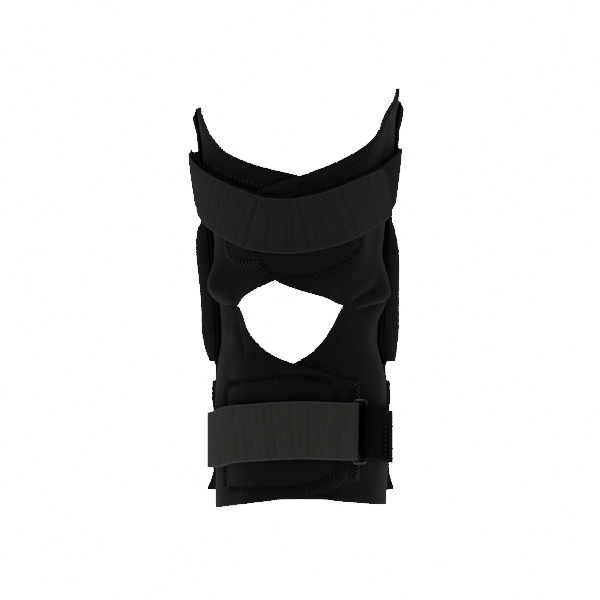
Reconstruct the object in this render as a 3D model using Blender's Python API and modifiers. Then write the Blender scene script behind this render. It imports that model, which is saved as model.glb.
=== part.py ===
"""Wraparound hinged knee brace, closed and empty, standing as on a straight leg.

Metres, +Z up. The origin is the centre of the knee. The camera side is -Y and
+X is the right side as seen from there. Round the leg a turn of 0 degrees is
the far side, 90 the right side, -90 the left side and 180 the camera side.
"""
import bpy
import bmesh
import numpy as np

# Leg form inside the brace
THIGH_RISE = 0.188
CALF_DROP = 0.147
THIGH_WIDTH, THIGH_NEAR, THIGH_FAR = 0.150, 0.080, 0.078
KNEE_WIDTH, KNEE_NEAR, KNEE_FAR, KNEE_SHIFT = 0.117, 0.056, 0.062, 0.0008
CALF_WIDTH, CALF_NEAR, CALF_FAR, CALF_SHIFT = 0.130, 0.061, 0.066, 0.0026
LEVEL_SHARE, THIGH_PART, CALF_PART = np.array([
    (-1.20, 0.00, 1.00), (-0.50, 0.00, 1.00), (-0.34, 0.00, 0.95), (-0.22, 0.00, 0.50),
    (-0.10, 0.00, 0.05), (0.00, 0.03, 0.00), (0.16, 0.16, 0.00), (0.33, 0.30, 0.00),
    (0.40, 0.40, 0.00), (0.52, 0.60, 0.00), (0.75, 0.90, 0.00), (1.00, 1.00, 0.00),
    (1.20, 1.04, 0.00)]).T

# Cloth, webbing and metal
NEOPRENE = 0.0035
LOOP_CLOTH = 0.0008
SLEEVE_CLOTH = 0.0012
POCKET_CLOTH = 0.0010
STRAP = 0.0015
WEBBING = 0.0012
STAY_STEEL = 0.0015
LAYER_GAP = 0.0003
PATCH_GAP = 0.0005
FACET_GAP = 0.0005
FLAP_LIFT = NEOPRENE + LOOP_CLOTH + 2 * PATCH_GAP
FLAP_TOP = FLAP_LIFT + NEOPRENE

# Wrap: corners of the window, and each tongue's end, start of its round, squareness, bluntness
NOTCH_RISE = 0.014
LEFT_NOTCH, RIGHT_NOTCH = -127.0, 145.0
UPPER_LEFT, UPPER_RIGHT = (-211.0, 188.0, 3.0, 0.93), (222.0, 190.0, 2.3, 0.975)
LOWER_LEFT, LOWER_RIGHT = (-211.0, 188.0, 3.2, 0.93), (205.0, 186.0, 3.0, 0.93)
UPPER_CLIMB, LOWER_CLIMB = (116.0, 145.0), (118.0, 148.0)
FREE_SHARE, FREE_TURN = 0.3, 18.0
FAR_TURN, FAR_ABOVE, FAR_BELOW = 56.0, 0.025, 0.050
FAR_ROUND, FAR_POINT = 2.4, 1.5
TONGUE_STEPS, LEFT_STEPS, FAR_STEPS, RIGHT_STEPS = 13, 9, 10, 11
TONGUE_CROWD, ROW_CROWD = 1.15, 1.3
BAND_ROWS = 9
PUFF_RISE, PUFF_ABOVE, PUFF_BELOW = 0.029, 0.017, 0.011
PUFF_TURN, PUFF_FRONT, PUFF_BACK = 106.0, 19.0, 9.5
LEFT_PUFF, RIGHT_PUFF = 0.0108, 0.0104

# Hinge sleeves, arms and pockets
STAY_TURN = 76.0
HINGE_RISE = 0.006
LEFT_COVER_TOP, RIGHT_COVER_TOP = 0.166, 0.178
COVER_FOOT = -0.031
COVER_WIDTH = 0.050
LEFT_REACH, RIGHT_REACH = 0.0196, 0.0222
SLEEVE_SIDES, SLEEVE_FACES = 0.8, 0.65
ARM_WIDTH = 0.016
ARM_TIP = 0.9
ARM_BEND, ARM_DROP = (0.020, 0.034), (0.028, 0.040)
ARM_ROWS = 13
PLATE_WIDTH, PLATE_HEIGHT, PLATE_STEEL = 0.024, 0.040, 0.0012
PLATE_ROUND = 0.47
RIVET, RIVET_SPACING, RIVET_HEAD = 0.0060, 0.018, 0.0008
RIVET_SIDES = 14
PIN_PLAY = 0.0005
ARM_PLAY = 0.0002
UPPER_ARM_TOP = 0.150
LOWER_ARM_FOOT = -0.126
POCKET_TOP, POCKET_FOOT = -0.046, -0.134
POCKET_HEM, POCKET_SLOPE = 0.0050, 0.0012
LEFT_FLARE, RIGHT_FLARE, FLARE_DROP = 0.0036, 0.0022, (0.1245, 0.132)

# Straps and rings
THIGH_STRAP_WIDTH, CALF_STRAP_WIDTH = 0.042, 0.0445
RING_WIRE = 0.0024
RING_BARS = 0.0095
RING_CORNER = 0.0022
RING_PLAY = 0.0012
THIGH_RING_TURN, CALF_RING_TURN = 271.8, 143.8
THIGH_RING_LIFT, CALF_RING_LIFT = 0.0124, 0.0125
TAB_SHARE = 0.93
TIP_LENGTH, TIP_NARROWS = 0.010, 0.35
FOLD_STEPS = 7


def glide(x, xs, ys):
    """Smooth curve through a short table that never swings past its rows."""
    xs, ys = np.asarray(xs, float), np.asarray(ys, float)
    step = np.diff(xs)
    rise = np.diff(ys) / step
    same = rise[1:] * rise[:-1] > 0
    inner = np.where(same, 2 * rise[1:] * rise[:-1] / np.where(same, rise[1:] + rise[:-1], 1), 0)
    slope = np.concatenate([rise[:1], inner, rise[-1:]])
    i = np.clip(np.searchsorted(xs, x) - 1, 0, len(xs) - 2)
    h = step[i]
    t = np.clip((x - xs[i]) / h, 0, 1)
    ends = (1 + 2 * t) * (1 - t) ** 2 * ys[i] + t * t * (3 - 2 * t) * ys[i + 1]
    return ends + h * (t * (1 - t) ** 2 * slope[i] - t * t * (1 - t) * slope[i + 1])


def ease(x, start, end):
    """Nought before start, one after end, and a soft rise between."""
    t = np.clip((x - start) / (end - start), 0, 1)
    return t * t * (3 - 2 * t)


LEVELS = np.where(LEVEL_SHARE > 0, LEVEL_SHARE * THIGH_RISE, LEVEL_SHARE * CALF_DROP)


def section(level):
    """Half width, camera-side depth, far depth and sideways shift of the leg at a level."""
    thigh, calf = glide(level, LEVELS, THIGH_PART), glide(level, LEVELS, CALF_PART)
    knee = 1 - thigh - calf
    return (thigh * THIGH_WIDTH / 2 + calf * CALF_WIDTH / 2 + knee * KNEE_WIDTH / 2,
            thigh * THIGH_NEAR + calf * CALF_NEAR + knee * KNEE_NEAR,
            thigh * THIGH_FAR + calf * CALF_FAR + knee * KNEE_FAR,
            calf * CALF_SHIFT + knee * KNEE_SHIFT)


def skin(turn, level, lift):
    """The point at a turn in degrees and a level, raised off the leg by lift."""
    half, near, far, shift = section(level)
    t = np.radians(turn)
    depth = np.where(np.cos(t) > 0, far, near)
    nx, ny = np.sin(t) / half, np.cos(t) / depth
    n = np.hypot(nx, ny)
    x = shift + half * np.sin(t) + lift * nx / n
    y = depth * np.cos(t) + lift * ny / n
    return np.stack([x, y, level + 0 * x], -1)


def degrees_per_metre(turn, level):
    """How fast the turn grows with the distance walked round the leg."""
    half, near, far, _ = section(level)
    t = np.radians(turn)
    depth = np.where(np.cos(t) > 0, far, near)
    return np.degrees(1 / np.hypot(half * np.cos(t), depth * np.sin(t)))


def link(obj, collection):
    for old in list(obj.users_collection):
        old.objects.unlink(obj)
    collection.objects.link(obj)


def paint(obj, colour, metallic, roughness):
    material = bpy.data.materials.new(obj.name)
    material.use_nodes = True
    shader = material.node_tree.nodes["Principled BSDF"]
    shader.inputs["Base Color"].default_value = (*colour, 1)
    shader.inputs["Metallic"].default_value = metallic
    shader.inputs["Roughness"].default_value = roughness
    obj.data.materials.append(material)


def grid(name, columns, rows, place):
    """A grid of columns by rows whose corners (u, v), each 0 to 1, go where place puts them."""
    bm = bmesh.new()
    bmesh.ops.create_grid(bm, x_segments=columns, y_segments=rows, size=0.5)
    mesh = bpy.data.meshes.new(name)
    bm.to_mesh(mesh)
    bm.free()
    at = np.empty(len(mesh.vertices) * 3)
    mesh.vertices.foreach_get("co", at)
    at = at.reshape(-1, 3)
    at = place(at[:, 0] + 0.5, at[:, 1] + 0.5)
    mesh.vertices.foreach_set("co", at.ravel())
    mesh.update()
    return mesh


def weld(name, meshes, outward=True, close=False):
    """Join meshes along their shared corners into one object of the brace."""
    bm = bmesh.new()
    for mesh in meshes:
        bm.from_mesh(mesh)
    bmesh.ops.remove_doubles(bm, verts=bm.verts, dist=1e-6)
    if close:
        bmesh.ops.holes_fill(bm, edges=[e for e in bm.edges if e.is_boundary and close(e)])
        bmesh.ops.recalc_face_normals(bm, faces=bm.faces)
    elif not outward:
        bmesh.ops.reverse_faces(bm, faces=bm.faces)
    mesh = bpy.data.meshes.new(name)
    bm.to_mesh(mesh)
    bm.free()
    for old in meshes:
        bpy.data.meshes.remove(old)
    mesh.polygons.foreach_set("use_smooth", [True] * len(mesh.polygons))
    obj = bpy.data.objects.new(name, mesh)
    brace.objects.link(obj)
    return obj


def thicken(obj, thickness, offset):
    shell = obj.modifiers.new("wall", "SOLIDIFY")
    shell.thickness = thickness
    shell.offset = offset
    shell.use_even_offset = True


def cut(obj, tool, operation):
    tool.hide_render = True
    tool.display_type = "WIRE"
    link(tool, cutters)
    step = obj.modifiers.new(tool.name, "BOOLEAN")
    step.operation = operation
    step.solver = "EXACT"
    step.object = tool


for old in list(bpy.data.objects):
    bpy.data.objects.remove(old)
brace = bpy.data.collections.new("hinged_knee_brace")
cutters = bpy.data.collections.new("cutters")
bpy.context.scene.collection.children.link(brace)
bpy.context.scene.collection.children.link(cutters)

CLOTH_BLACK = (0.012, 0.012, 0.011)
WEBBING_BLACK = (0.020, 0.020, 0.019)
METAL_BLACK = (0.030, 0.030, 0.030)

# Neoprene wrap: one sheet, split into tongues at the window and open behind the knee
NECK = np.array([
    (-214, 0.53), (-180, 0.61), (-156, 0.65), (-128, 0.72), (-112, 0.79), (-104, 0.86),
    (-97, 0.90), (-91, 0.92), (-80, 0.865), (-68, 0.805), (-55, 0.755), (-37, 0.70), (0, 0.635),
    (37, 0.745), (55, 0.83), (75, 0.93), (85, 0.985), (92, 1.0), (99, 0.97), (107, 0.92),
    (116, 0.868), (125, 0.803), (135, 0.752), (147, 0.704), (162, 0.654), (180, 0.606),
    (203, 0.56), (226, 0.55)])
WINDOW_TOP = np.array([
    (-214, 0.34), (-196, 0.27), (-163, 0.178), (-145, 0.135), (-134, 0.105),
    (LEFT_NOTCH, NOTCH_RISE / THIGH_RISE), (RIGHT_NOTCH, NOTCH_RISE / THIGH_RISE),
    (165, 0.11), (180, 0.138), (196, 0.176), (212, 0.27), (226, 0.40)])
WINDOW_FOOT = np.array([
    (-216, -0.29), (-196, -0.26), (-176, -0.21), (-161, -0.16), (-148, -0.088), (-139, -0.014),
    (-134, 0.045), (LEFT_NOTCH, NOTCH_RISE / CALF_DROP), (RIGHT_NOTCH, NOTCH_RISE / CALF_DROP),
    (149, 0.055), (154, -0.01), (162, -0.088), (173, -0.16), (185, -0.21), (208, -0.30)])
HEM = np.array([
    (-216, -0.86), (-196, -0.885), (-180, -0.91), (-153, -0.945), (-136, -0.965), (-92, -1.0),
    (0, -1.0), (104, -0.98), (146, -0.95), (180, -0.91), (208, -0.86)])


def sheet_columns(left_end, right_end):
    """Turns of the sheet's columns from the left tongue's end to the right one's."""
    far = np.linspace(1, 0, TONGUE_STEPS + 1)[:-1]
    left = LEFT_NOTCH + (left_end - LEFT_NOTCH) * (1 - (1 - far) ** TONGUE_CROWD)
    right = RIGHT_NOTCH + (right_end - RIGHT_NOTCH) * (1 - (1 - far[::-1]) ** TONGUE_CROWD)
    behind = FAR_TURN * np.sin(np.linspace(-np.pi / 2, np.pi / 2, FAR_STEPS + 1))
    return np.concatenate([left, np.linspace(LEFT_NOTCH, -FAR_TURN, LEFT_STEPS + 1)[:-1], behind,
                           np.linspace(FAR_TURN, RIGHT_NOTCH, RIGHT_STEPS + 1)[1:], right])


def blunt_end(turn, end, start, squareness, blunt):
    """Share of the tongue's height that is left as it rounds off towards its end."""
    t = blunt * np.clip((np.abs(turn) - start) / (abs(end) - start), 0, 1)
    return (1 - t ** squareness) ** (1 / squareness)


def far_opening(turn):
    """Share of the opening behind the knee that is left at a turn, one at its middle."""
    return (1 - np.clip(np.abs(turn) / FAR_TURN, 0, 1) ** FAR_ROUND) ** (1 / FAR_POINT)


def puff(turn, level):
    """Fold where the cloth bulges out in front of each hinge."""
    back = np.where(np.abs(turn) > PUFF_TURN, PUFF_FRONT, PUFF_BACK)
    below = np.where(level > PUFF_RISE, PUFF_ABOVE, PUFF_BELOW)
    height = np.where(turn > 0, RIGHT_PUFF, LEFT_PUFF)
    round_leg = np.exp(-((np.abs(turn) - PUFF_TURN) / back) ** 2)
    return height * round_leg * np.exp(-((level - PUFF_RISE) / below) ** 2)


def upper_band(u, v):
    """Thigh half: the right tongue climbs over the left one."""
    columns = sheet_columns(UPPER_LEFT[0], UPPER_RIGHT[0])
    turn = np.interp(u, np.linspace(0, 1, len(columns)), columns)
    whole = (turn > LEFT_NOTCH - 0.01) & (turn < RIGHT_NOTCH + 0.01)
    body = NOTCH_RISE + FAR_ABOVE * far_opening(turn)
    low = np.where(whole, body, glide(turn, *WINDOW_TOP.T) * THIGH_RISE)
    high = glide(turn, *NECK.T) * THIGH_RISE
    ends = np.where(turn > 0, blunt_end(turn, *UPPER_RIGHT), blunt_end(turn, *UPPER_LEFT))
    level = (low + high) / 2 + (v ** ROW_CROWD - 0.5) * (high - low) * ends
    free = np.maximum(ease(v, 0, FREE_SHARE), ease(turn, RIGHT_NOTCH, RIGHT_NOTCH + FREE_TURN))
    return skin(turn, level, FLAP_LIFT * ease(turn, *UPPER_CLIMB) * free + puff(turn, level))


def lower_band(u, v):
    """Calf half: the left tongue climbs over the right one."""
    columns = sheet_columns(LOWER_LEFT[0], LOWER_RIGHT[0])
    turn = np.interp(u, np.linspace(0, 1, len(columns)), columns)
    whole = (turn > LEFT_NOTCH - 0.01) & (turn < RIGHT_NOTCH + 0.01)
    body = NOTCH_RISE - FAR_BELOW * far_opening(turn)
    high = np.where(whole, body, glide(turn, *WINDOW_FOOT.T) * CALF_DROP)
    low = glide(turn, *HEM.T) * CALF_DROP
    ends = np.where(turn > 0, blunt_end(turn, *LOWER_RIGHT), blunt_end(turn, *LOWER_LEFT))
    level = (low + high) / 2 + (0.5 - (1 - v) ** ROW_CROWD) * (high - low) * ends
    free = np.maximum(ease(1 - v, 0, FREE_SHARE), ease(-turn, -LEFT_NOTCH, FREE_TURN - LEFT_NOTCH))
    return skin(turn, level, FLAP_LIFT * ease(-turn, *LOWER_CLIMB) * free + puff(turn, level))


steps = TONGUE_STEPS * 2 + LEFT_STEPS + FAR_STEPS + RIGHT_STEPS
wrap = weld("neoprene_wrap", [grid("upper", steps, BAND_ROWS, upper_band),
                              grid("lower", steps, BAND_ROWS, lower_band)], outward=False)
thicken(wrap, NEOPRENE, 1)
paint(wrap, CLOTH_BLACK, 0, 0.9)

# Loop patches between the crossing tongues
THIGH_PATCH = np.array([(-188, 0.29, 0.53), (-158, 0.23, 0.575), (-139, 0.235, 0.61), (-121, 0.28, 0.67)])
CALF_PATCH = np.array([(134, -0.85, -0.30), (150, -0.85, -0.295), (188, -0.845, -0.34)])


def patch_on(rows, reach):
    def place(u, v):
        turn = rows[0, 0] + u * (rows[-1, 0] - rows[0, 0])
        low, high = glide(turn, *rows[:, :2].T) * reach, glide(turn, *rows[:, ::2].T) * reach
        level = low + v * (high - low)
        return skin(turn, level, NEOPRENE + PATCH_GAP + puff(turn, level))
    return place


for name, rows, reach in (("thigh_loop_patch", THIGH_PATCH, THIGH_RISE),
                          ("calf_loop_patch", CALF_PATCH, CALF_DROP)):
    patch = weld(name, [grid(name, 10, 9, patch_on(rows, reach))], outward=False)
    thicken(patch, LOOP_CLOTH, 1)
    paint(patch, CLOTH_BLACK, 0, 1.0)

# Stand-off of the hinge sleeves: level, then inner and outer face as shares of the reach, and width
LEFT_SLEEVE = np.array([
    (-0.165, 0.26, 0.59, 0.78), (-0.096, 0.28, 0.88, 0.92), (-0.032, 0.35, 0.98, 1.0),
    (0.138, 0.35, 1.00, 1.0), (0.287, 0.31, 0.96, 0.95), (0.346, 0.27, 0.88, 0.92),
    (0.404, 0.24, 0.71, 0.88), (0.436, 0.22, 0.60, 0.86), (0.500, 0.20, 0.45, 0.84),
    (0.80, 0.20, 0.45, 0.80), (0.86, 0.20, 0.56, 0.78), (1.0, 0.20, 0.60, 0.78)])
RIGHT_SLEEVE = np.array([
    (-0.165, 0.23, 0.62, 0.78), (-0.096, 0.36, 0.84, 0.92), (-0.032, 0.40, 1.00, 1.0),
    (0.138, 0.34, 0.93, 1.0), (0.287, 0.27, 0.80, 0.95), (0.346, 0.24, 0.69, 0.92),
    (0.404, 0.21, 0.53, 0.88), (0.436, 0.19, 0.44, 0.86), (0.500, 0.175, 0.39, 0.84),
    (0.80, 0.175, 0.39, 0.80), (0.88, 0.175, 0.50, 0.78), (1.0, 0.175, 0.50, 0.78)])


class Stay:
    """One side's line of hinge, arms, sleeve and pocket, running down a constant turn."""

    def __init__(self, side):
        self.turn = STAY_TURN if side == "right" else -STAY_TURN
        self.table = RIGHT_SLEEVE if side == "right" else LEFT_SLEEVE
        self.reach = RIGHT_REACH if side == "right" else LEFT_REACH
        self.top = RIGHT_COVER_TOP if side == "right" else LEFT_COVER_TOP
        self.flare = RIGHT_FLARE if side == "right" else LEFT_FLARE
        self.pin = self.on_skin(0, HINGE_RISE, self.middle(HINGE_RISE))
        half, _, far, _ = section(HINGE_RISE)
        t = np.radians(self.turn)
        out = np.array([np.sin(t) / half, np.cos(t) / far, 0])
        self.out = out / np.linalg.norm(out)
        self.along = np.array([self.out[1], -self.out[0], 0])

    def faces(self, level):
        """Lift of the sleeve's inner and outer face."""
        share = level / THIGH_RISE
        return [glide(share, self.table[:, 0], self.table[:, k]) * self.reach for k in (1, 2)]

    def middle(self, level):
        """Lift of the arms' centre plane, dropping into the pocket below the sleeve."""
        inner, outer = self.faces(np.maximum(level, COVER_FOOT))
        pocket = ease(-level, *ARM_DROP)
        in_pocket = NEOPRENE + LAYER_GAP + STAY_STEEL / 2
        return (inner + outer) / 2 * (1 - pocket) + pocket * in_pocket

    def on_skin(self, across, level, lift):
        return skin(self.turn + across * degrees_per_metre(self.turn, level), level, lift)

    def flat(self, across, level):
        """Arm surface: flat beside the hinge, then following the leg."""
        curved = self.on_skin(across, level, self.middle(level))
        rise = (level - HINGE_RISE)[:, None]
        plane = self.pin + across[:, None] * self.along + rise * np.array([0, 0, 1])
        bend = ease(np.abs(rise), *ARM_BEND)
        return plane * (1 - bend) + curved * bend

    def sleeve(self, u, v):
        level = COVER_FOOT + v * (self.top - COVER_FOOT)
        inner, outer = self.faces(level)
        wide = glide(level / THIGH_RISE, self.table[:, 0], self.table[:, 3]) * COVER_WIDTH / 2
        c, s = np.cos(2 * np.pi * u), np.sin(2 * np.pi * u)
        across = wide * np.sign(c) * np.abs(c) ** SLEEVE_SIDES
        lift = (inner + outer) / 2 + (outer - inner) / 2 * np.sign(s) * np.abs(s) ** SLEEVE_FACES
        return self.on_skin(across, level, lift)

    def pocket(self, u, v):
        level = POCKET_FOOT + v * (POCKET_TOP - POCKET_FOOT)
        edge = ARM_WIDTH / 2 + 2 * LAYER_GAP
        stations = np.array([edge, edge + POCKET_SLOPE, edge + POCKET_HEM])
        across = np.concatenate([-stations[::-1], [0], stations])
        low = NEOPRENE + LAYER_GAP
        high = low + STAY_STEEL + LAYER_GAP
        lifts = np.array([low, low, high, high, high, low, low])
        share = np.linspace(0, 1, len(lifts))
        lift = np.interp(u, share, lifts)
        loose = (lift - low) / (high - low) * self.flare * ease(-level, *FLARE_DROP)
        return self.on_skin(np.interp(u, share, across), level, lift + loose)

    def arm(self, foot, top):
        def place(u, v):
            level = foot + v * (top - foot)
            tip = np.minimum(level - foot, top - level) / (ARM_WIDTH / 2)
            wide = ARM_WIDTH / 2 * np.sqrt(1 - (1 - np.clip(tip, 0, 1)) ** 2 * ARM_TIP)
            return self.flat((2 * u - 1) * wide, level)
        return place


def pillar(name, radius, length, stay, level):
    """A round bar square to the hinge plates at a level."""
    mesh = bpy.data.meshes.new(name)
    bm = bmesh.new()
    bmesh.ops.create_cone(bm, cap_ends=True, segments=RIVET_SIDES, radius1=radius, radius2=radius,
                          depth=length)
    bm.to_mesh(mesh)
    bm.free()
    obj = bpy.data.objects.new(name, mesh)
    brace.objects.link(obj)
    obj.rotation_euler = (np.pi / 2, 0, np.arctan2(stay.out[1], stay.out[0]) - np.pi / 2)
    obj.location = stay.pin + np.array([0, 0, level - HINGE_RISE])
    return obj


def rounded_plates(name, stay):
    """Two flat plates with round ends, either side of the arms."""
    bm = bmesh.new()
    for side in (-1, 1):
        away = side * (STAY_STEEL / 2 + LAYER_GAP + PLATE_STEEL / 2)
        made = bmesh.ops.create_cube(bm, size=1)["verts"]
        bmesh.ops.scale(bm, vec=(PLATE_WIDTH, PLATE_STEEL, PLATE_HEIGHT), verts=made)
        bmesh.ops.translate(bm, vec=(0, away, 0), verts=made)
        through = {e for v in made for e in v.link_edges if abs(e.verts[0].co.y - e.verts[1].co.y) > 1e-4}
        ends = [e for e in bm.edges if e in through]
        bmesh.ops.bevel(bm, geom=ends, offset=PLATE_WIDTH * PLATE_ROUND, segments=5, profile=0.5,
                        affect="EDGES")
    mesh = bpy.data.meshes.new(name)
    bm.to_mesh(mesh)
    bm.free()
    obj = bpy.data.objects.new(name, mesh)
    brace.objects.link(obj)
    obj.rotation_euler = (0, 0, np.arctan2(stay.out[1], stay.out[0]) - np.pi / 2)
    obj.location = stay.pin
    return obj


for side in ("left", "right"):
    stay = Stay(side)
    cover = weld(side + "_hinge_cover", [grid("sleeve", 16, 17, stay.sleeve)],
                 close=lambda edge: min(v.co.z for v in edge.verts) > THIGH_RISE / 2)
    thicken(cover, SLEEVE_CLOTH, -1)
    paint(cover, CLOTH_BLACK, 0, 0.9)
    pocket = weld(side + "_lower_pocket", [grid("pocket", 6, 9, stay.pocket)], outward=False)
    thicken(pocket, POCKET_CLOTH, 1)
    paint(pocket, CLOTH_BLACK, 0, 0.9)
    rivet_levels = (HINGE_RISE + RIVET_SPACING / 2, HINGE_RISE - RIVET_SPACING / 2)
    reach = ARM_WIDTH / 2 + ARM_PLAY
    spans = ((rivet_levels[0] - reach, UPPER_ARM_TOP), (LOWER_ARM_FOOT, rivet_levels[1] + reach))
    stack = STAY_STEEL + 2 * LAYER_GAP + 2 * PLATE_STEEL
    for part, span, level in zip(("_upper_arm", "_lower_arm"), spans, rivet_levels):
        arm = weld(side + part, [grid("arm", 2, ARM_ROWS, stay.arm(*span))])
        thicken(arm, STAY_STEEL, 0)
        hole = pillar(side + part + "_hole", RIVET / 2 + PIN_PLAY, 2 * stack, stay, level)
        cut(arm, hole, "DIFFERENCE")
        paint(arm, METAL_BLACK, 1, 0.4)
    plates = rounded_plates(side + "_hinge_plates", stay)
    for k, level in enumerate(rivet_levels):
        cut(plates, pillar(side + "_rivet_%d" % k, RIVET / 2, stack + 2 * RIVET_HEAD, stay, level), "UNION")
    paint(plates, METAL_BLACK, 1, 0.4)

# Straps: centre line (turn, level) and the lifts of the under and outer layers along it
THIGH_LINE = np.array([
    (20, 0.117), (50, 0.119), (70, 0.1205), (90, 0.119), (105, 0.113), (120, 0.1035), (139, 0.093),
    (151, 0.086), (164, 0.080), (186, 0.075), (202, 0.0768), (217, 0.083), (232, 0.0915),
    (257, 0.1065), (268, 0.112), (285, 0.1165), (300, 0.118), (340, 0.117)])
CALF_LINE = np.array([
    (20, -0.093), (90, -0.0915), (112, -0.089), (128, -0.0855), (138, -0.0838), (150, -0.0835),
    (180, -0.082), (211, -0.0845), (229, -0.087), (241, -0.0905), (257, -0.0925), (290, -0.095),
    (345, -0.096)])
ON_WRAP = NEOPRENE + FACET_GAP + STRAP / 2
FOLD = RING_WIRE / 2 + FACET_GAP + STRAP / 2
TAB_FOLD = RING_WIRE / 2 + FACET_GAP + WEBBING / 2
FRONT = FLAP_TOP + 2 * FACET_GAP + STRAP / 2
DOUBLE = STRAP + LAYER_GAP


def beside(line, turn, ahead, across, lift):
    """Point beside a strap's centre line, measured along and square to it."""
    level = glide(turn, *line.T)
    pace = degrees_per_metre(turn, level)
    slope = np.arctan((glide(turn + 1, *line.T) - glide(turn - 1, *line.T)) / 2 * pace)
    walk = ahead * np.cos(slope) - across * np.sin(slope)
    return skin(turn + walk * pace, level + ahead * np.sin(slope) + across * np.cos(slope), lift)


def bar_turn(line, ring_turn, way):
    """Turn at which a strap's centre line meets the near bar of a ring."""
    level = glide(ring_turn, *line.T)
    pace = degrees_per_metre(ring_turn, level)
    slope = np.arctan((glide(ring_turn + 1, *line.T) - glide(ring_turn - 1, *line.T)) / 2 * pace)
    return ring_turn - way * RING_BARS / 2 * np.cos(slope) * pace


def folded(line, start, ring_turn, end, under, outer, lift, fold, width, counts):
    """Band that runs under to a ring's near bar, turns round it and comes back over itself."""
    way = 1 if ring_turn > start else -1
    bar = bar_turn(line, ring_turn, way)
    phi = np.linspace(0, np.pi, FOLD_STEPS + 2)[1:-1]
    out_p, back_p = np.linspace(start, bar, counts[0]), np.linspace(bar, end, counts[1])
    turns = np.concatenate([out_p, np.full(FOLD_STEPS, ring_turn), back_p])
    ahead = np.concatenate([0 * out_p, way * (fold * np.sin(phi) - RING_BARS / 2), 0 * back_p])
    lifts = np.concatenate([glide(out_p, *under.T), lift - fold * np.cos(phi), glide(back_p, *outer.T)])

    def place(u, v):
        at = np.linspace(0, 1, len(turns))
        p, a, h = (np.interp(u, at, values) for values in (turns, ahead, lifts))
        to_end = np.where(u > 0.5, np.radians(np.abs(end - p)) * KNEE_WIDTH / 2, TIP_LENGTH)
        tip = 1 - np.clip(to_end / TIP_LENGTH, 0, 1)
        return beside(line, p, a, (v - 0.5) * width * (1 - TIP_NARROWS * tip ** 3), h)
    return grid("band", len(turns) - 1, 2, place)


def ring(name, line, turn, lift, inside):
    """Rounded rectangle of wire round the two folds."""
    half_long, half_wide = inside / 2 + RING_PLAY + RING_WIRE / 2, RING_BARS / 2
    corner = np.radians(np.linspace(0, 90, 4))
    arc_x = half_wide - RING_CORNER + RING_CORNER * np.cos(corner)
    arc_y = half_long - RING_CORNER + RING_CORNER * np.sin(corner)
    side = np.linspace(-1, 1, 5)[1:-1] * (half_long - RING_CORNER)
    right_x = np.concatenate([np.full(3, half_wide), arc_x])
    right_y = np.concatenate([side, arc_y])
    across = np.concatenate([right_x, -arc_x[::-1], np.full(3, -half_wide), -arc_x, arc_x[::-1]])
    up = np.concatenate([right_y, arc_y[::-1], -side, -arc_y, -arc_y[::-1]])
    points = beside(line, np.full(len(across), turn), across, up, np.full(len(across), lift))
    curve = bpy.data.curves.new(name, "CURVE")
    curve.dimensions = "3D"
    curve.bevel_depth = RING_WIRE / 2
    curve.bevel_resolution = 2
    spline = curve.splines.new("POLY")
    spline.points.add(len(points) - 1)
    for point, at in zip(spline.points, points):
        point.co = (*at, 1)
    spline.use_cyclic_u = True
    obj = bpy.data.objects.new(name, curve)
    brace.objects.link(obj)
    paint(obj, METAL_BLACK, 1, 0.3)
    return obj


OVER_COVER, OVER_POCKET = 0.0097, 0.0080
THIGH_UNDER = np.array([
    (20, ON_WRAP), (45, ON_WRAP), (56, OVER_COVER), (116, OVER_COVER), (138, FRONT), (222, FRONT),
    (245, FRONT), (268, THIGH_RING_LIFT - FOLD)])
THIGH_OUTER = np.array([
    (110, FRONT + DOUBLE), (222, FRONT + DOUBLE), (245, 0.0122), (260, 0.0137),
    (268, THIGH_RING_LIFT + FOLD)])
THIGH_TAB_UNDER = np.array([(276, THIGH_RING_LIFT - TAB_FOLD), (290, 0.0102)])
THIGH_TAB_OUTER = np.array([
    (276, THIGH_RING_LIFT + TAB_FOLD), (284, 0.0135), (292, 0.0119), (298, 0.0102),
    (303, 0.0095), (315, ON_WRAP), (332, ON_WRAP)])
CALF_UNDER = np.array([
    (147, CALF_RING_LIFT - FOLD), (155, FRONT), (212, FRONT), (228, 0.0094), (245, 0.0084),
    (262, OVER_POCKET), (304, OVER_POCKET), (320, ON_WRAP), (342, ON_WRAP)])
CALF_OUTER = np.array([
    (147, CALF_RING_LIFT + FOLD), (156, 0.0130), (166, FRONT + DOUBLE), (212, FRONT + DOUBLE),
    (230, 0.0114), (247, 0.0105), (262, OVER_POCKET + DOUBLE), (304, OVER_POCKET + DOUBLE),
    (314, 0.0094)])
CALF_TAB_UNDER = np.array([(124, 0.0086), (138, CALF_RING_LIFT - TAB_FOLD)])
CALF_TAB_OUTER = np.array([
    (28, ON_WRAP), (38, ON_WRAP), (52, OVER_POCKET), (98, OVER_POCKET), (112, 0.0094),
    (124, 0.0115), (132, 0.0132), (138, CALF_RING_LIFT + TAB_FOLD)])

BANDS = (
    ("thigh_strap", THIGH_LINE, 42, THIGH_RING_TURN, 119, THIGH_UNDER, THIGH_OUTER, THIGH_RING_LIFT,
     FOLD, THIGH_STRAP_WIDTH, STRAP, (34, 26)),
    ("calf_strap", CALF_LINE, 338, CALF_RING_TURN, 312, CALF_UNDER, CALF_OUTER, CALF_RING_LIFT, FOLD,
     CALF_STRAP_WIDTH, STRAP, (32, 28)),
    ("thigh_ring_tab", THIGH_LINE, 289, THIGH_RING_TURN, 318, THIGH_TAB_UNDER, THIGH_TAB_OUTER,
     THIGH_RING_LIFT, TAB_FOLD, THIGH_STRAP_WIDTH * TAB_SHARE, WEBBING, (4, 11)),
    ("calf_ring_tab", CALF_LINE, 125, CALF_RING_TURN, 31, CALF_TAB_UNDER, CALF_TAB_OUTER,
     CALF_RING_LIFT, TAB_FOLD, CALF_STRAP_WIDTH * TAB_SHARE, WEBBING, (4, 18)))
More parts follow.
